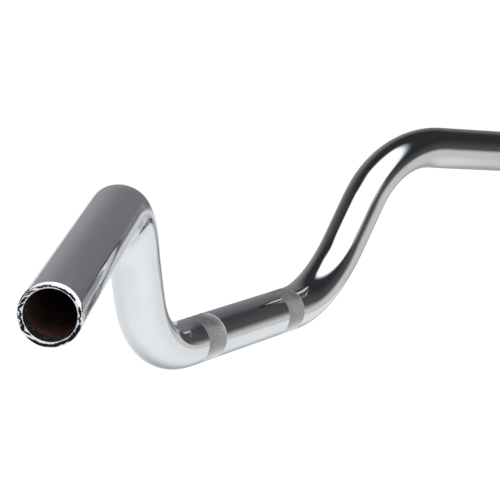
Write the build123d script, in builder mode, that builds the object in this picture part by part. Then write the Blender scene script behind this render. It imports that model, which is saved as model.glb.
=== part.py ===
from build123d import *
import math
import os

# Riser handlebar: one bent steel tube with open ends and two knurled bands on its clamp section.
# Sizes are in millimetres and degrees. The origin is on the tube's axis in the middle of the
# clamp section. +X runs along the clamp section, +Y points forward and +Z up. The risers stand
# in the XZ plane, and the grips are level and swept back towards -Y.

# Tube
tube_diameter = 22.2
tube_wall = 2.0

# Clamp section, from its middle outwards: plain, knurled, plain up to the lower bend
plain_middle = 67.0
knurl_width = 17.5
plain_shoulder = 5.5

# Bends, risers and grips
lower_bend_radius = 60.0
riser_angle = 58.5
riser_straight = 26.5
upper_bend_radius = 57.0
sweep_back_angle = 23.5
grip_straight = 159.0

# The upper bends are squeezed oval where the tube was drawn round the former
squeeze_depth = 1.35
squeeze_spread = 0.8

# Straight knurl: axial V grooves, with crests just under the tube's surface
knurl_teeth = 90
knurl_crest_drop = 0.06
knurl_groove_depth = 0.34

# Cut ends
rim_chamfer = 0.5
bore_chamfer = 0.25

tube_radius = tube_diameter / 2
knurl_start = plain_middle / 2
bend_start = knurl_start + knurl_width + plain_shoulder

riser_rad = math.radians(riser_angle)
sweep_rad = math.radians(sweep_back_angle)
riser_direction = Vector(math.cos(riser_rad), 0, math.sin(riser_rad))
grip_direction = Vector(math.cos(sweep_rad), -math.sin(sweep_rad), 0)
upper_turn = riser_direction.get_angle(grip_direction)

# Each bend's tangent points lie this far from the corner where the two straights would meet
lower_setback = lower_bend_radius * math.tan(riser_rad / 2)
upper_setback = upper_bend_radius * math.tan(math.radians(upper_turn / 2))

middle = Vector(0, 0, 0)
lower_corner = Vector(bend_start + lower_setback, 0, 0)
upper_corner = lower_corner + riser_direction * (lower_setback + riser_straight + upper_setback)
bar_end = upper_corner + grip_direction * (upper_setback + grip_straight)

with BuildLine() as centre_line:
    FilletPolyline(
        middle, lower_corner, upper_corner, bar_end, radius=[lower_bend_radius, upper_bend_radius]
    )

runs = centre_line.edges().sort_by(centre_line.wire())
lower_run = Wire(runs[:3])
upper_bend = runs[3]
bend_normal = riser_direction.cross(grip_direction).normalized()

# Shares of the upper bend's length, and how far the section is squeezed there
upper_bend_squeeze = ((0, 0), (0.5, 1), (1, 0))


def half_rod(inset):
    """The right half of the bar as a solid rod, with its surface brought in by an inset."""
    radius = tube_radius - inset
    with BuildPart() as rod:
        with BuildSketch(Plane.YZ):
            Circle(radius)
        sweep(path=lower_run)
        for share, squeeze in upper_bend_squeeze:
            section = Plane(upper_bend @ share, x_dir=bend_normal, z_dir=upper_bend % share)
            with BuildSketch(section):
                Ellipse(radius + squeeze_spread * squeeze, radius - squeeze_depth * squeeze)
        sweep(path=upper_bend, multisection=True)
        with BuildSketch(Plane(upper_bend @ 1, x_dir=bend_normal, z_dir=grip_direction)):
            Circle(radius)
        extrude(amount=grip_straight)
    return rod.part


def knurl_outline():
    """Points of the toothed outline, crest and groove in turn."""
    crest_radius = tube_radius - knurl_crest_drop
    points = []
    for step in range(2 * knurl_teeth):
        radius = crest_radius - knurl_groove_depth * (step % 2)
        angle = math.pi * step / knurl_teeth
        points.append((radius * math.cos(angle), radius * math.sin(angle)))
    return points


with BuildPart() as handlebar:
    add(half_rod(0))
    add(half_rod(tube_wall), mode=Mode.SUBTRACT)

    cut_end = handlebar.faces().sort_by(Axis(middle, grip_direction))[-1]
    bore_edge = cut_end.inner_wires().edges()
    chamfer(cut_end.outer_wire().edges(), rim_chamfer)
    chamfer(bore_edge, bore_chamfer)

    with BuildSketch(Plane.YZ.offset(knurl_start)):
        Circle(tube_diameter)
        Polygon(*knurl_outline(), align=None, mode=Mode.SUBTRACT)
    extrude(amount=knurl_width, mode=Mode.SUBTRACT)

    mirror(about=Plane.YZ)

size = handlebar.part.bounding_box().size
print(f"overall width {size.X:.1f}, rise {upper_corner.Z:.1f}, back sweep {-bar_end.Y:.1f}")

handlebar.part.label = "handlebar"
os.makedirs("parts", exist_ok=True)
export_step(handlebar.part, "parts/handlebar.step")
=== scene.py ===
import math

import bpy
import numpy as np
from mathutils import Matrix, Vector, noise


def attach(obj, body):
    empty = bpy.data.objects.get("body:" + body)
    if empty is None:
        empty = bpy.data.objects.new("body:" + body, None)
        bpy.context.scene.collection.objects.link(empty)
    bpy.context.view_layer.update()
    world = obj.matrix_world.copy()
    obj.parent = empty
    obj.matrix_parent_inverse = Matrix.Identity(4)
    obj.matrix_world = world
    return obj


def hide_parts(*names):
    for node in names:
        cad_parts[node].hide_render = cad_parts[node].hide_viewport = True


# The visual model of a chrome-plated riser handlebar: one bent tube with two knurled bands.
# Lengths are in metres. The frame is the CAD part's own.
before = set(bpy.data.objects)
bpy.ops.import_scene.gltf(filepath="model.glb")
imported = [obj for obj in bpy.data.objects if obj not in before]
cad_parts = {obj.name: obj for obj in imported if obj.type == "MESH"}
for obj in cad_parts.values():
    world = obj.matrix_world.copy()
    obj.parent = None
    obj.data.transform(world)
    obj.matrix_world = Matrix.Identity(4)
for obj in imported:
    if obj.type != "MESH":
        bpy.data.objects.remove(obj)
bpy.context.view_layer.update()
MM = 0.001

# Tube and path, as in the CAD part
RADIUS = 11.1 * MM
WALL = 2.0 * MM
BORE = RADIUS - WALL
KNURL_START = 33.5 * MM
KNURL_END = 51.0 * MM
BEND_START = 56.5 * MM
LOWER_RADIUS = 60.0 * MM
UPPER_RADIUS = 57.0 * MM
RISER_STRAIGHT = 26.5 * MM
GRIP_STRAIGHT = 159.0 * MM
RISER_ANGLE = math.radians(58.5)
SWEEP_ANGLE = math.radians(23.5)

# How bending has changed the tube: the upper bends are a little flat, and each bend starts gently
SQUEEZE_DEPTH = 1.1 * MM
SQUEEZE_SPREAD = 0.8 * MM
EASE = 3.0 * MM

# Knurling: rounded teeth along the tube, which run out at each end of a band
KNURL_TEETH = 90
KNURL_CREST = RADIUS - 0.06 * MM
KNURL_DEPTH = 0.34 * MM
TOOTH = (0, 0.25, 0.75, 1, 0.75, 0.25)      # depth across one tooth, as a share
RUN_OUT = 0.7 * MM

# Cut end: the rim is rounded more on one side
END_ZONE = 8.0 * MM
ROUND_LEAST = 0.45 * MM
ROUND_MOST = 1.15 * MM
ROUND_SIDE = math.radians(-27.0)            # where on the section it is rounded most
ROUND_FOCUS = 1.5
ROUND_LEAD = 0.2 * MM
INNER_ROUND = 0.22 * MM

# Mesh spacing
SAMPLE_STEP = 0.5 * MM
STRAIGHT_STEP = 2.0 * MM
BEND_STEP = 1.3 * MM
AROUND = 128
AROUND_END = 512
AROUND_BORE = 48
BORE_STRIDE = 3
ROUND_STEPS = 8
FACE_STEPS = 10
INNER_STEPS = 4
GRIP_RINGS = 5                              # rings of the end strip that lie before the rounding


def unit(v):
    return v / np.linalg.norm(v)


def turned(v, axis, angle):
    return (v * math.cos(angle) + np.cross(axis, v) * math.sin(angle)
            + axis * np.dot(axis, v) * (1 - math.cos(angle)))


def limited(value):
    return min(max(value, 0.0), 1.0)


class Path:
    """The right half of the centre line, from the middle of the clamp section to the cut end."""

    def __init__(self):
        along = np.array([1.0, 0.0, 0.0])
        riser = np.array([math.cos(RISER_ANGLE), 0.0, math.sin(RISER_ANGLE)])
        grip = np.array([math.cos(SWEEP_ANGLE), -math.sin(SWEEP_ANGLE), 0.0])
        self.squeeze_axis = unit(np.cross(riser, grip))
        self.length = 0.0
        self.spans = []
        self.samples = []
        self.state = (np.zeros(3), along, np.array([0.0, 0.0, 1.0]), np.array([0.0, 1.0, 0.0]))
        self._run(BEND_START)
        self._run(LOWER_RADIUS * self._turn(riser), LOWER_RADIUS, riser)
        self._run(RISER_STRAIGHT)
        self._run(UPPER_RADIUS * self._turn(grip), UPPER_RADIUS, grip, True)
        self._run(GRIP_STRAIGHT)
        self._settle()

    def _turn(self, towards):
        return math.acos(np.dot(self.state[1], towards))

    def _run(self, length, radius=None, towards=None, squeezed=False):
        """A straight run, or a bend of this radius until the tube points towards a direction."""
        point, tangent, up, side = self.state
        axis = unit(np.cross(tangent, towards)) if radius else None
        count = round(length / SAMPLE_STEP)
        for d in np.linspace(0, length, count + 1):
            if radius:
                angle = d / radius
                here = (point + radius * math.sin(angle) * tangent
                        + radius * (1 - math.cos(angle)) * np.cross(axis, tangent))
                local = [turned(v, axis, angle) for v in (tangent, up, side)]
            else:
                here, local = point + tangent * d, [tangent, up, side]
            share = 4 * (d / length) * (1 - d / length) if squeezed else 0.0
            if not self.samples or d > 0:
                self.samples.append((self.length + d, *here, *local[1], *local[2], share))
        self.spans.append((self.length, self.length + length, bool(radius)))
        self.state = (here, *local)
        self.length += length

    def _settle(self):
        """Eases the start and end of each bend, as the metal does, and sets the section's axes."""
        table = np.array(self.samples)
        s = table[:, 0]
        even = np.arange(0.0, self.length, SAMPLE_STEP)
        table = np.stack([np.interp(even, s, column) for column in table.T], 1)
        reach = round(3 * EASE / SAMPLE_STEP)
        kernel = np.exp(-0.5 * (np.arange(-reach, reach + 1) * SAMPLE_STEP / EASE) ** 2)
        kernel /= kernel.sum()
        # the left half's samples, and the grip drawn out past its end
        left_half = table[1:reach + 1][::-1] * np.array([-1, -1, 1, 1, -1, 1, 1, -1, 1, 1, 1])
        end = table[-1] + (table[-1] - table[-2]) * np.arange(1, reach + 1)[:, None]
        padded = np.vstack([left_half, table, end])
        smooth = np.stack([np.convolve(column, kernel, "valid") for column in padded.T], 1)
        self.s, self.points, self.squeeze = even, smooth[:, 1:4], smooth[:, 10]
        self.tangents = np.gradient(self.points, axis=0)
        self.tangents /= np.linalg.norm(self.tangents, axis=1)[:, None]
        up = smooth[:, 4:7]
        up = up - (up * self.tangents).sum(1)[:, None] * self.tangents
        self.ups = up / np.linalg.norm(up, axis=1)[:, None]

    def at(self, s):
        """Point, tangent, two section axes and the share of the squeeze at length s."""
        look = [np.array([np.interp(s, self.s, column) for column in rows.T])
                for rows in (self.points, self.tangents, self.ups)]
        point, tangent, up = look[0], unit(look[1]), unit(look[2])
        if s > self.s[-1]:
            point = point + tangent * (s - self.s[-1])
        return point, tangent, up, np.cross(up, tangent), float(np.interp(s, self.s, self.squeeze))

    def ring(self, s, radius, count):
        """A ring of the section at length s, with this radius (one number, or one for each point)."""
        point, tangent, up, side, share = self.at(s)
        a = np.arange(count) * (2 * math.pi / count)
        out = np.cos(a)[:, None] * up + np.sin(a)[:, None] * side
        if share > 0:
            axis = unit(self.squeeze_axis - np.dot(self.squeeze_axis, tangent) * tangent)
            inwards = np.cross(axis, tangent)
            out = (out - (out @ inwards)[:, None] * inwards * (share * SQUEEZE_DEPTH / RADIUS)
                   + (out @ axis)[:, None] * axis * (share * SQUEEZE_SPREAD / RADIUS))
        return point + out * np.reshape(radius, (-1, 1))

    def stations(self, start, stop):
        """Lengths from start to stop, close together in the bends."""
        found = [start]
        for begin, end, bend in self.spans:
            lo, hi = max(begin, start), min(end, stop)
            if hi - lo > 1e-9:
                spacing = BEND_STEP if bend else STRAIGHT_STEP
                found += list(np.linspace(lo, hi, max(2, math.ceil((hi - lo) / spacing) + 1))[1:])
        return found


path = Path()
MIRROR = np.array([-1.0, 1.0, 1.0])


class Shell:
    """Collects strips of rings into one mesh, with a material and a tube coordinate for each face."""

    def __init__(self):
        self.points, self.faces, self.materials, self.uvs, self.wear = [], [], [], [], []
        self.count = 0

    def strip(self, rings, lengths, material, outwards=True, wear=None):
        """rings: arrays of the same number of points, one after the other towards the right end."""
        n = len(rings[0])
        base = self.count
        self.points += rings
        self.count += n * len(rings)
        self.wear += [w for ring in wear for w in ring] if wear else [0.0] * (n * len(rings))
        kinds = material if isinstance(material, list) else [material] * (len(rings) - 1)
        for i in range(len(rings) - 1):
            row, after = base + i * n, base + (i + 1) * n
            for j in range(n):
                k = (j + 1) % n
                quad = [row + j, row + k, after + k, after + j]
                uv = [(j / n, lengths[i]), ((j + 1) / n, lengths[i]),
                      ((j + 1) / n, lengths[i + 1]), (j / n, lengths[i + 1])]
                if outwards:
                    quad, uv = quad[::-1], uv[::-1]
                self.faces.append(quad)
                self.uvs.append(uv)
                self.materials.append(kinds[i])

    def both(self, rings, lengths, material, outwards=True, wear=None):
        """The strip on the right half and its mirror image on the left."""
        self.strip(rings, lengths, material, outwards, wear)
        left = [ring * MIRROR for ring in rings][::-1]
        kinds = material[::-1] if isinstance(material, list) else material
        self.strip(left, [-s for s in lengths][::-1], kinds, outwards, wear[::-1] if wear else None)

    def build(self, name, materials):
        mesh = bpy.data.meshes.new(name)
        mesh.from_pydata(np.vstack(self.points).tolist(), [], self.faces)
        for material in materials:
            mesh.materials.append(material)
        mesh.polygons.foreach_set("material_index", self.materials)
        mesh.polygons.foreach_set("use_smooth", [True] * len(self.faces))
        layer = mesh.uv_layers.new(name="tube")
        layer.data.foreach_set("uv", [c for face in self.uvs for corner in face for c in corner])
        mesh.attributes.new("wear", "FLOAT", "POINT").data.foreach_set("value", self.wear)
        mesh.update()
        obj = bpy.data.objects.new(name, mesh)
        bpy.context.scene.collection.objects.link(obj)
        return obj


# Shader nodes
def plug(tree, socket, value):
    """Sets a socket to a number or to three numbers, or links it to another node's output."""
    if isinstance(value, bpy.types.NodeSocket):
        tree.links.new(value, socket)
    elif isinstance(value, tuple):
        socket.default_value = (*value, 1)
    else:
        socket.default_value = value


def add(tree, kind, **settings):
    """A new node; a setting is the name of one of its inputs or of one of its properties."""
    node = tree.nodes.new(kind)
    for key, value in settings.items():
        if key in node.inputs:
            plug(tree, node.inputs[key], value)
        else:
            setattr(node, key, value)
    return node


def math_node(tree, operation, *values):
    node = add(tree, "ShaderNodeMath", operation=operation)
    for socket, value in zip(node.inputs, values):
        plug(tree, socket, value)
    return node.outputs[0]


def times(tree, *values):
    result = values[0]
    for value in values[1:]:
        result = math_node(tree, "MULTIPLY", result, value)
    return result


def step(tree, value, start, end, kind="SMOOTHSTEP"):
    """0 before start and 1 after end, with a soft change between them; start may be the larger one."""
    node = add(tree, "ShaderNodeMapRange", interpolation_type=kind, Value=value)
    node.inputs["From Min"].default_value = min(start, end)
    node.inputs["From Max"].default_value = max(start, end)
    node.inputs["To Min"].default_value = 0.0 if start < end else 1.0
    node.inputs["To Max"].default_value = 1.0 if start < end else 0.0
    return node.outputs[0]


def stretch(tree, value, steps):
    """The product of several steps of one value, such as a stretch with two soft ends."""
    return times(tree, *(step(tree, value, *pair) for pair in steps))


def lobe(tree, value, centre, width):
    """A bell curve of one value."""
    x = math_node(tree, "DIVIDE", math_node(tree, "SUBTRACT", value, centre), width)
    return math_node(tree, "EXPONENT", times(tree, x, x, -0.5))


def mix(tree, share, first, second):
    """A mix of two colours."""
    node = add(tree, "ShaderNodeMix", data_type="RGBA")
    for place, value in ((0, share), (6, first), (7, second)):
        plug(tree, node.inputs[place], value)
    return node.outputs[2]


def ramp(tree, source, stops):
    """A colour ramp; each stop is a place and a grey or a colour."""
    node = add(tree, "ShaderNodeValToRGB", Fac=source)
    elements = node.color_ramp.elements
    while len(elements) < len(stops):
        elements.new(0.5)
    for element, (place, value) in zip(elements, stops):
        element.position = place
        element.color = (*value, 1) if isinstance(value, tuple) else (value, value, value, 1)
    return node.outputs[0]


def noise_node(tree, **settings):
    """Noise that is fixed to the object; its scale is in cells for each metre."""
    place = add(tree, "ShaderNodeTexCoord").outputs["Object"]
    return add(tree, "ShaderNodeTexNoise", Vector=place, **settings).outputs["Fac"]


def axes_of(tree, coordinate="Object"):
    """A place or direction as one vector, and its X, Y and Z."""
    place = add(tree, "ShaderNodeTexCoord").outputs[coordinate]
    return place, *add(tree, "ShaderNodeSeparateXYZ", Vector=place).outputs


def mixed_shader(tree, share, first, second):
    node = add(tree, "ShaderNodeMixShader")
    for socket, value in zip(node.inputs, (share, first, second)):
        plug(tree, socket, value)
    return node.outputs[0]


# Materials of the bar. A ramp's stops are places on a scale from 0 to 1, each with its value.
CHROME_SCALE = 38.0
CHROME_TONES = ((0.3, (0.775, 0.785, 0.80)), (0.7, (0.81, 0.815, 0.82)))
POLISHED_ROUGHNESS = 0.06
KNURLED_ROUGHNESS = 0.31
ROUGHER = 1.25                              # how many times as rough the roughest places are
RIPPLE_SCALE = 45.0
RIPPLE = 0.006 * MM
CUT_TONES = ((0.25, (0.82, 0.84, 0.87)), (0.7, (0.011, 0.013, 0.019)))
CUT_ROUGHNESS = ((0.2, 0.05), (0.8, 0.35))
RUST_ROUGHNESS = 0.75
RUST_GRAIN = 900.0
RUST_PATCH = 130.0
RUST_TONES = ((0.36, (0.034, 0.024, 0.021)), (0.5, (0.065, 0.029, 0.021)), (0.6, (0.18, 0.074, 0.048)))
RUST_LUMPS = 0.2 * MM
RIM_TONES = ((0.61, (0.009, 0.008, 0.0075)), (0.66, (0.5, 0.45, 0.38)))
RIM_DARK = 5.5 * MM                         # where the dark stretch starts, from the cut end
RIM_BLEND = 2.5 * MM
RIM_UNEVEN = 4.0 * MM                       # how far the patches move that start


def new_material(name, **settings):
    material = bpy.data.materials.new(name)
    material.use_nodes = True
    tree = material.node_tree
    tree.nodes.clear()
    shader = add(tree, "ShaderNodeBsdfPrincipled", **settings)
    add(tree, "ShaderNodeOutputMaterial", Surface=shader.outputs[0])
    return material, tree, shader


def bumped(tree, shader, height, strength, distance):
    push = add(tree, "ShaderNodeBump", Strength=strength, Distance=distance, Height=height)
    plug(tree, shader.inputs["Normal"], push.outputs[0])


def chrome(name, roughness, ripple=0.0):
    """Chrome plate whose tone and polish drift a little, with slow ripples if it is polished."""
    material, tree, shader = new_material(name, Metallic=1.0)
    broad = noise_node(tree, Scale=CHROME_SCALE, Detail=2.0)
    stops = ((0.35, roughness), (0.7, roughness * ROUGHER))
    plug(tree, shader.inputs["Base Color"], ramp(tree, broad, CHROME_TONES))
    plug(tree, shader.inputs["Roughness"], ramp(tree, broad, stops))
    if ripple:
        bumped(tree, shader, noise_node(tree, Scale=RIPPLE_SCALE, Detail=1.0), 1.0, ripple)
    return material


def cut_chrome():
    """The cut face: bright plating, which is dark and rough in the saw marks."""
    material, tree, shader = new_material("cut_end_chrome", Metallic=1.0)
    worn = add(tree, "ShaderNodeAttribute", attribute_name="wear").outputs["Fac"]
    plug(tree, shader.inputs["Base Color"], ramp(tree, worn, CUT_TONES))
    plug(tree, shader.inputs["Roughness"], ramp(tree, worn, CUT_ROUGHNESS))
    return material


def bore_rust():
    """Brown rust, which is nearly black with pale specks in the last few millimetres."""
    material, tree, shader = new_material("bore_rust", Roughness=RUST_ROUGHNESS)
    grain = noise_node(tree, Scale=RUST_GRAIN, Detail=5.0, Roughness=0.7)
    patch = noise_node(tree, Scale=RUST_PATCH, Detail=3.0)
    blend = math_node(tree, "MULTIPLY_ADD", grain, 0.6, math_node(tree, "MULTIPLY", patch, 0.4))
    tube = add(tree, "ShaderNodeUVMap", uv_map="tube").outputs[0]
    along = add(tree, "ShaderNodeSeparateXYZ", Vector=tube).outputs["Y"]
    uneven = math_node(tree, "MULTIPLY_ADD", patch, RIM_UNEVEN, math_node(tree, "ABSOLUTE", along))
    dark_start = path.length - RIM_DARK
    rim = step(tree, uneven, dark_start, dark_start + RIM_BLEND, "LINEAR")
    colour = mix(tree, rim, ramp(tree, blend, RUST_TONES), ramp(tree, grain, RIM_TONES))
    plug(tree, shader.inputs["Base Color"], colour)
    bumped(tree, shader, grain, 0.6, RUST_LUMPS)
    return material


POLISHED, KNURLED, CUT, RUST = range(4)
finishes = [chrome("polished_chrome", POLISHED_ROUGHNESS, RIPPLE),
            chrome("knurled_chrome", KNURLED_ROUGHNESS), cut_chrome(), bore_rust()]

# Saw marks on the cut face, dark and ragged: angle and width in degrees, the depth of the middle and the
# reach as shares of the wall, and how many degrees the mark leans as it crosses the wall
MARK_DEPTH = 0.05 * MM
MARK_GAIN = 3.0       # how sharply a mark begins
MARK_BASE = 0.5
MARK_RAGGED = 0.35
MARK_WANDER = 0.12    # how far a mark strays across the wall
MARK_CLEAR = 0.97     # the depth at which the marks have ended
MARK_FADE = 0.1
MARK_RINGS = 3        # rings of the rounding over which the marks begin
SPECK_GAIN = 3.2
SPECK_BASE = 0.6
FACE_ROLL = 25        # from the section's own top to the angle that the marks are counted from
MARKS = ((6, 9.0, 0.56, 0.22, 0), (19, 3.4, 0.60, 0.36, -25), (38, 2.6, 0.56, 0.52, -26),
         (46, 1.7, 0.54, 0.46, -24), (57, 2.8, 0.58, 0.58, -22), (64, 1.8, 0.54, 0.52, -20),
         (73, 2.8, 0.52, 0.66, -14), (83, 1.7, 0.44, 0.58, 10), (91, 2.4, 0.66, 0.56, -8),
         (98, 1.9, 0.50, 0.58, 12), (105, 2.4, 0.60, 0.54, -6), (115, 4.4, 0.54, 0.74, -8),
         (124, 1.7, 0.48, 0.52, 20), (131, 3.4, 0.68, 0.46, 16), (142, 6.0, 0.18, 0.28, 0),
         (158, 13.0, 0.32, 0.46, 0), (178, 12.0, 0.40, 0.44, 0), (-170, 6.0, 0.42, 0.44, 0),
         (-156, 9.0, 0.56, 0.46, 0), (-134, 12.0, 0.44, 0.60, 0), (-117, 8.0, 0.42, 0.56, 0),
         (-99, 3.0, 0.62, 0.40, 10), (-91, 2.0, 0.56, 0.36, -12), (-80, 6.0, 0.54, 0.40, 0),
         (-48, 8.0, 0.64, 0.36, 0), (-30, 10.0, 0.70, 0.34, 0), (-10, 9.0, 0.70, 0.22, 0))
SPECKLED = ((86, 26), (-97, 9))       # angle and width of the stretches with specks, in degrees


def near(angle, centre, width):
    """1 at one angle of the face, in degrees, and falling off to both sides of it."""
    off = (angle - centre + 180) % 360 - 180
    return math.exp(-0.5 * (off / width) ** 2)


def grain_at(across, upwards, wide, high, layer):
    """Noise on the cut face, from -1 to 1, with grains of this width and height."""
    return noise.noise(Vector((across / wide, upwards / high, layer)))


def worn_at(angle, depth, across, upwards):
    """How far a point of the end is marked, from 0 to 1; depth goes from 0 outside to 1 at the bore."""
    rough = grain_at(across, upwards, 1.3 * MM, 0.55 * MM, 3.0)
    fine = grain_at(across, upwards, 0.5 * MM, 0.4 * MM, 9.0)
    speck = grain_at(across, upwards, 0.6 * MM, 0.33 * MM, 15.0)
    specks = SPECK_GAIN * speck - SPECK_BASE
    marked = max(near(angle, centre, width) * specks for centre, width in SPECKLED)
    for centre, width, middle, reach, lean in MARKS:
        inside = max(1 - abs(depth + MARK_WANDER * rough - middle) / reach, 0.0)
        leant = near(angle, centre + lean * (depth - middle), width)
        marked = max(marked, leant * MARK_GAIN * (inside + MARK_RAGGED * fine) - MARK_BASE)
    return limited(marked) * limited((MARK_CLEAR - depth) / MARK_FADE)


def cut_end():
    """Rings over the cut end, from the grip across the rim to the bore, with their lengths and wear."""
    angles = np.arange(AROUND_END) * (2 * math.pi / AROUND_END)
    towards = 0.5 + 0.5 * np.cos(angles - ROUND_SIDE)
    rounding = ROUND_LEAST + (ROUND_MOST - ROUND_LEAST) * towards ** ROUND_FOCUS
    start = path.length - ROUND_MOST
    lengths = [*np.linspace(path.length - END_ZONE, start - ROUND_LEAD, GRIP_RINGS - 1), start]
    rings = [path.ring(s, RADIUS, AROUND_END) for s in lengths]
    centre, outwards, up, side, _ = path.at(path.length)
    radial = np.cos(angles)[:, None] * up + np.sin(angles)[:, None] * side
    for t in np.linspace(0, math.pi / 2, ROUND_STEPS + 1)[1:]:
        out = RADIUS - rounding * (1 - math.cos(t))
        back = rounding * (1 - math.sin(t))
        rings.append(centre + radial * out[:, None] - outwards * back[:, None])
    face_outer, face_inner = RADIUS - rounding, BORE + INNER_ROUND
    for share in np.linspace(0, 1, FACE_STEPS + 1)[1:]:
        out = face_outer + (face_inner - face_outer) * share
        rings.append(centre + radial * out[:, None])
    for t in np.linspace(0, math.pi / 2, INNER_STEPS + 1)[1:]:
        out = BORE + INNER_ROUND * (1 - math.sin(t))
        back = INNER_ROUND * (1 - math.cos(t))
        rings.append(centre + radial * out - outwards * back)
    lengths += [path.length] * (len(rings) - GRIP_RINGS)

    wear = []
    for i, ring in enumerate(rings):
        across, upwards = (ring - centre) @ side, (ring - centre) @ up
        depth = (RADIUS - np.hypot(across, upwards)) / WALL
        on_end = limited((i - GRIP_RINGS) / MARK_RINGS)
        wear.append([on_end * worn_at(math.degrees(t) - FACE_ROLL, d, u, v)
                     for t, d, u, v in zip(angles, depth, across, upwards)])
        rings[i] = ring - outwards * (np.array(wear[i]) * MARK_DEPTH)[:, None]
    return rings, lengths, wear


# The bar, strip by strip from the clamp section to the cut ends, and then its bore
shell = Shell()
run = path.stations(0.0, KNURL_START)
shell.both([path.ring(s, RADIUS, AROUND) for s in run], run, POLISHED)

teeth = KNURL_CREST - np.tile(TOOTH, KNURL_TEETH) * KNURL_DEPTH
run = [KNURL_START, KNURL_START + RUN_OUT, KNURL_END - RUN_OUT, KNURL_END]
rings = [path.ring(s, r, len(teeth)) for s, r in zip(run, (RADIUS, teeth, teeth, RADIUS))]
shell.both(rings, run, KNURLED)

run = path.stations(KNURL_END, path.length - END_ZONE)
shell.both([path.ring(s, RADIUS, AROUND) for s in run], run, POLISHED)

rings, run, wear = cut_end()
grip_strips = GRIP_RINGS - 1
shell.both(rings, run, [POLISHED] * grip_strips + [CUT] * (len(rings) - 1 - grip_strips), wear=wear)

run = path.stations(0.0, path.length - INNER_ROUND)
run = run[:-1:BORE_STRIDE] + run[-1:]
shell.both([path.ring(s, BORE, AROUND_BORE) for s in run], run, RUST, outwards=False)

bar = shell.build("chrome_bar", finishes)
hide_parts("handlebar")
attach(bar, "root")

# Studio. The camera sees a plain white room and floor, and the metal sees the tones below.
# Directions are in degrees: azimuth from +X towards +Y, and elevation above the horizon.
# A step is a pair: where a change starts, and where it is complete.
ROOM_RISE = (12, 45)                  # step of elevation from the low to the high tone
ROOM_LOW = (0.085, 0.08, 0.085)
ROOM_HIGH = (0.03, 0.03, 0.033)
ROOM_PATCHES = (                      # two steps of azimuth, one of elevation, and the tone
    (((-4, 11), (100, 50)), (42, 14), (0.19, 0.18, 0.20)),
    (((16, 40), (70, 46)), (26, 0), (0.315, 0.315, 0.335)),
    (((-18, -32), (-84, -70)), (13, -3), (0.66, 0.66, 0.65)),
    (((-88, -98), (-172, -160)), (30, 15), (1.15, 1.17, 1.2)))
ROOM_DEEP = (0.75, 0.76, 0.78)        # the room from a third reflection on
WINDOW_SIDES = ((-48, -57), (-90, -78))
WINDOW_HEIGHTS = ((-2, 9), (50, 34))
WINDOW_TONE = (1.3, 1.5, 1.65)        # a cool window, which shows only in a second reflection

FLOOR_Z = -0.28
FLOOR_RADIUS = 14.0
FLOOR_SIDES = 96
FLOOR_TONE = (0.8, 0.8, 0.8)
FLOOR_LIFT = 0.97                     # added for the camera, so that the floor is white to it
GLOW_TONE = (0.99, 1.0, 1.01)
GLOW_CHANGES = (                      # one after the other, by x, y or the distance from the middle
    ("x", (-0.15, -0.27), (0.88, 0.90, 0.90)),
    ("y", (0.0, 0.25), (0.84, 0.86, 0.88)),
    ("x", (-0.15, 0.7), (0.85, 0.88, 0.90)),
    ("reach", (0.8, 2.0), (0.83, 0.84, 0.84)))
SHADE_X = (-0.16, 0.22)               # a soft shade under the clamp section and the right half
SHADE_TURN = -0.06                    # it runs nearly along x
SHADE_MIDDLE = 0.075
SHADE_WIDTH = 0.085
SHADE_TONE = (0.41, 0.44, 0.47)
AHEAD_SIDES = ((-14, 4), (50, 25))    # a duller stretch ahead
AHEAD_REACH = (0.8, 1.4)
AHEAD_CHANGE = (1.25, 1.8)            # step of distance between its two tones
AHEAD_TONES = ((0.50, 0.53, 0.57), (0.68, 0.70, 0.72))
GAP_SIDES = ((-20, -11), (12, 2))     # where the floor fades into a lighter tone than the room's
GAP_TONE = (0.46, 0.46, 0.48)
FADE_RIGHT = (1.7, 3.9)               # step of distance in which it fades, on the right
FADE_LEFT = (1.7, 2.8)                # and on the left
FADE_TURN = (-12, -2)                 # step of azimuth from the one to the other

BOX_X = (-0.75, 0.182)
BOX_Y = (-0.42, 0.118)
BOX_Z = 0.24
BOX_EDGE = 0.03                       # half the width of its soft edges
BOX_SLANT = 0.316                     # how far the front edge moves back for each metre towards -y
BOX_CORNER = (0.08, 0.7)              # where the left edge turns in, and by how much for each metre
BOX_FLARE = 0.08                      # how much further left the left edge is behind
BOX_FLARE_X = (0.03, -0.09)
BOX_WING = 0.40                       # and how much further right the right edge is
BOX_WING_X = (-0.12, -0.30)
BOX_COOL = (0.35, 0.65, 1.0)
BOX_WARM = (1.0, 0.62, 0.42)
BOX_STRENGTH = 1.35
BOX_SECOND = 0.72                     # its strength from a second reflection on

# A card of painted shade: the less lit floor under the right half, as the metal sees it
CARD_X = 0.24
CARD_Y = 0.1
CARD_Z = -0.055
CARD_SIZE = 3.0
CARD_EDGE = 0.12
CARD_CHANGE = (-0.17, -0.02)          # step of y between its two tones
CARD_TONES = ((0.64, 0.64, 0.62), (0.41, 0.41, 0.39))
CARD_SECOND = (0.12, 0.12, 0.12)      # its tone from a second reflection on


def new_tree(owner):
    owner.use_nodes = True
    owner.node_tree.nodes.clear()
    return owner.node_tree


def stage_mesh(name, points, material):
    """A flat piece of the studio with one face."""
    mesh = bpy.data.meshes.new(name)
    mesh.from_pydata(points, [], [list(range(len(points)))])
    mesh.materials.append(material)
    obj = bpy.data.objects.new(name, mesh)
    bpy.context.scene.collection.objects.link(obj)
    return obj


def mirrored(tree, order, in_world=False):
    """1 where the metal shows a thing in its reflection of this order or a higher one, 0 elsewhere."""
    light_path = add(tree, "ShaderNodeLightPath")
    counted = order + 1 if in_world else order      # a ray into the world counts as one deeper
    deep = math_node(tree, "GREATER_THAN", light_path.outputs["Ray Depth"], counted - 0.5)
    return math_node(tree, "MULTIPLY", deep, light_path.outputs["Is Glossy Ray"])


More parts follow.
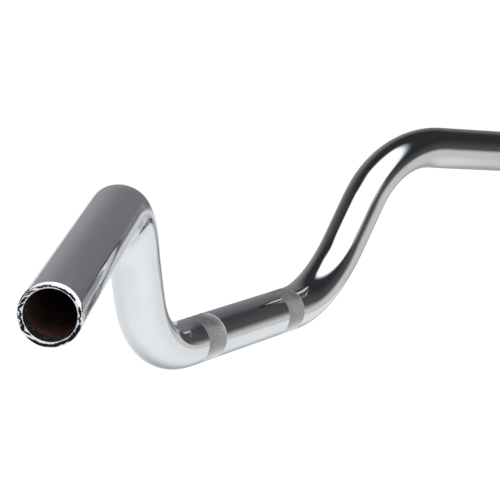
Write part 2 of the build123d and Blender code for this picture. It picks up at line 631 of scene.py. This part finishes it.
def room_colour(tree, azimuth, elevation):
    """The dim room round the object, by direction."""
    colour = mix(tree, step(tree, elevation, *ROOM_RISE), ROOM_LOW, ROOM_HIGH)
    for sides, top, tone in ROOM_PATCHES:
        share = times(tree, stretch(tree, azimuth, sides), step(tree, elevation, *top))
        colour = mix(tree, share, colour, tone)
    return colour


def floor_glow(tree):
    """What the metal sees on the floor: light near the object, which fades into the room far away."""
    place, x, y, _ = axes_of(tree)
    length = add(tree, "ShaderNodeVectorMath", operation="LENGTH")
    plug(tree, length.inputs[0], place)
    sources = {"x": x, "y": y, "reach": length.outputs["Value"]}
    reach = sources["reach"]
    azimuth = math_node(tree, "DEGREES", math_node(tree, "ARCTAN2", y, x))
    glow = GLOW_TONE
    for source, change, tone in GLOW_CHANGES:
        glow = mix(tree, step(tree, sources[source], *change), glow, tone)
    across = math_node(tree, "MULTIPLY_ADD", x, SHADE_TURN, y)
    shade = times(tree, step(tree, x, *SHADE_X), lobe(tree, across, SHADE_MIDDLE, SHADE_WIDTH))
    glow = mix(tree, shade, glow, SHADE_TONE)
    ahead = times(tree, stretch(tree, azimuth, AHEAD_SIDES), step(tree, reach, *AHEAD_REACH))
    ahead_tone = mix(tree, step(tree, reach, *AHEAD_CHANGE), *AHEAD_TONES)
    glow = mix(tree, ahead, glow, ahead_tone)
    room_tone = mix(tree, stretch(tree, azimuth, GAP_SIDES), room_colour(tree, azimuth, 0.0), GAP_TONE)
    fade_right, fade_left = step(tree, reach, *FADE_RIGHT), step(tree, reach, *FADE_LEFT)
    fade = mix(tree, step(tree, azimuth, *FADE_TURN), fade_right, fade_left)
    return mix(tree, fade, glow, room_tone)


def make_floor():
    """Pale and lit, with the object's shadow; it isn't there for a camera below it."""
    material = bpy.data.materials.new("pale_floor")
    tree = new_tree(material)
    light_path = add(tree, "ShaderNodeLightPath")
    seen = add(tree, "ShaderNodeEmission", Color=floor_glow(tree))
    pale = add(tree, "ShaderNodeBsdfDiffuse", Color=FLOOR_TONE)
    lifted = times(tree, light_path.outputs["Is Camera Ray"], FLOOR_LIFT)
    lift = add(tree, "ShaderNodeEmission", Strength=lifted)
    both = add(tree, "ShaderNodeAddShader")
    plug(tree, both.inputs[0], pale.outputs[0])
    plug(tree, both.inputs[1], lift.outputs[0])
    above = mixed_shader(tree, light_path.outputs["Is Glossy Ray"], both.outputs[0], seen.outputs[0])
    below = add(tree, "ShaderNodeNewGeometry").outputs["Backfacing"]
    clear = add(tree, "ShaderNodeBsdfTransparent").outputs[0]
    add(tree, "ShaderNodeOutputMaterial", Surface=mixed_shader(tree, below, above, clear))
    angles = [2 * math.pi * i / FLOOR_SIDES for i in range(FLOOR_SIDES)]
    circle = [(FLOOR_RADIUS * math.cos(a), FLOOR_RADIUS * math.sin(a), 0.0) for a in angles]
    floor = stage_mesh("floor", circle, material)
    floor.location = (0, 0, FLOOR_Z)


def make_softbox():
    """An overhead light with soft edges, which are cool in front and on the right and warm on the left."""
    material = bpy.data.materials.new("softbox")
    tree = new_tree(material)
    _, x, y, _ = axes_of(tree)
    slanted = math_node(tree, "MULTIPLY_ADD", math_node(tree, "MINIMUM", y, 0.0), -BOX_SLANT, x)
    past_corner = math_node(tree, "MAXIMUM", math_node(tree, "SUBTRACT", x, BOX_CORNER[0]), 0.0)
    left_of = math_node(tree, "MULTIPLY_ADD", past_corner, BOX_CORNER[1], y)
    left_of = math_node(tree, "MULTIPLY_ADD", step(tree, x, *BOX_FLARE_X), -BOX_FLARE, left_of)
    right_of = math_node(tree, "MULTIPLY_ADD", step(tree, x, *BOX_WING_X), BOX_WING, y)
    front_edge = step(tree, slanted, BOX_X[1] + BOX_EDGE, BOX_X[1] - BOX_EDGE)
    right_edge = step(tree, right_of, BOX_Y[0] - BOX_EDGE, BOX_Y[0] + BOX_EDGE)
    left_edge = step(tree, left_of, BOX_Y[1] + BOX_EDGE, BOX_Y[1] - BOX_EDGE)
    level = times(tree, right_edge, left_edge, front_edge)
    tint = mix(tree, times(tree, front_edge, right_edge), BOX_COOL, (1.0, 1.0, 1.0))
    tint = mix(tree, left_edge, BOX_WARM, tint)
    strength = math_node(tree, "MULTIPLY_ADD", mirrored(tree, 2), BOX_SECOND - BOX_STRENGTH, BOX_STRENGTH)
    white = add(tree, "ShaderNodeEmission", Color=tint, Strength=times(tree, level, strength))
    clear = add(tree, "ShaderNodeBsdfTransparent").outputs[0]
    add(tree, "ShaderNodeOutputMaterial", Surface=mixed_shader(tree, level, clear, white.outputs[0]))
    x0, x1 = BOX_X[0], BOX_X[1] + BOX_EDGE
    y0, y1 = BOX_Y[0] - BOX_WING - BOX_EDGE, BOX_Y[1] + BOX_FLARE + BOX_EDGE
    corners = [(x0, y0, BOX_Z), (x0, y1, BOX_Z), (x1, y1, BOX_Z), (x1, y0, BOX_Z)]
    softbox = stage_mesh("softbox", corners, material)
    softbox.visible_camera = False
    softbox.visible_shadow = False


def make_card():
    """A card low on the right, which only the metal sees; its grey is painted shade, the dimmer floor
    under the right half.
    """
    material = bpy.data.materials.new("painted_floor_shade")
    tree = new_tree(material)
    _, x, y, _ = axes_of(tree)
    # the two greys are painted shade of the floor, darker towards the bar
    grey = mix(tree, step(tree, y, *CARD_CHANGE), *CARD_TONES)
    tone = add(tree, "ShaderNodeEmission", Color=mix(tree, mirrored(tree, 2), grey, CARD_SECOND))
    share = times(tree, step(tree, x, CARD_X, CARD_X + CARD_EDGE), step(tree, y, CARD_Y, 0.0))
    clear = add(tree, "ShaderNodeBsdfTransparent").outputs[0]
    add(tree, "ShaderNodeOutputMaterial", Surface=mixed_shader(tree, share, clear, tone.outputs[0]))
    corners = [(CARD_X, -CARD_SIZE, CARD_Z), (CARD_SIZE, -CARD_SIZE, CARD_Z),
               (CARD_SIZE, CARD_Y, CARD_Z), (CARD_X, CARD_Y, CARD_Z)]
    card = stage_mesh("painted_floor_shade", corners, material)
    card.visible_camera = False
    card.visible_diffuse = False
    card.visible_shadow = False


def make_world():
    """White for the camera, and a dim room for every other ray."""
    world = bpy.data.worlds.new("room")
    bpy.context.scene.world = world
    tree = new_tree(world)
    _, x, y, z = axes_of(tree, "Generated")
    azimuth = math_node(tree, "DEGREES", math_node(tree, "ARCTAN2", y, x))
    elevation = math_node(tree, "DEGREES", math_node(tree, "ARCSINE", z))
    window = times(tree, stretch(tree, azimuth, WINDOW_SIDES), stretch(tree, elevation, WINDOW_HEIGHTS),
                   mirrored(tree, 2, True))
    colour = mix(tree, window, room_colour(tree, azimuth, elevation), WINDOW_TONE)
    colour = mix(tree, mirrored(tree, 3, True), colour, ROOM_DEEP)
    room = add(tree, "ShaderNodeBackground", Color=colour)
    open_white = add(tree, "ShaderNodeBackground", Color=(1, 1, 1))
    seen = add(tree, "ShaderNodeLightPath").outputs["Is Camera Ray"]
    shader = mixed_shader(tree, seen, room.outputs[0], open_white.outputs[0])
    add(tree, "ShaderNodeOutputWorld", Surface=shader)


make_floor()
make_softbox()
make_card()
make_world()

# Camera, at the photograph's angle
CAMERA_PLACE = (-0.877942, -0.399855, 0.27415)
CAMERA_HEADING = math.radians(24.648)       # from +X towards +Y
CAMERA_TILT = math.radians(-13.759)
CAMERA_ROLL = math.radians(12.4791)
CAMERA_LENS = 148.34                        # in millimetres, for a sensor 36 mm wide
camera = bpy.data.cameras.new("camera")
camera.sensor_width = 36.0
camera.lens = CAMERA_LENS
camera.clip_start, camera.clip_end = 0.05, 60.0
camera_object = bpy.data.objects.new("camera", camera)
bpy.context.scene.collection.objects.link(camera_object)
quarter = math.pi / 2
turn = (Matrix.Rotation(CAMERA_HEADING - quarter, 4, "Z") @ Matrix.Rotation(quarter + CAMERA_TILT, 4, "X")
        @ Matrix.Rotation(CAMERA_ROLL, 4, "Z"))
camera_object.matrix_world = Matrix.Translation(CAMERA_PLACE) @ turn
bpy.context.scene.camera = camera_object

view = bpy.context.scene.view_settings
view.view_transform = "Standard"
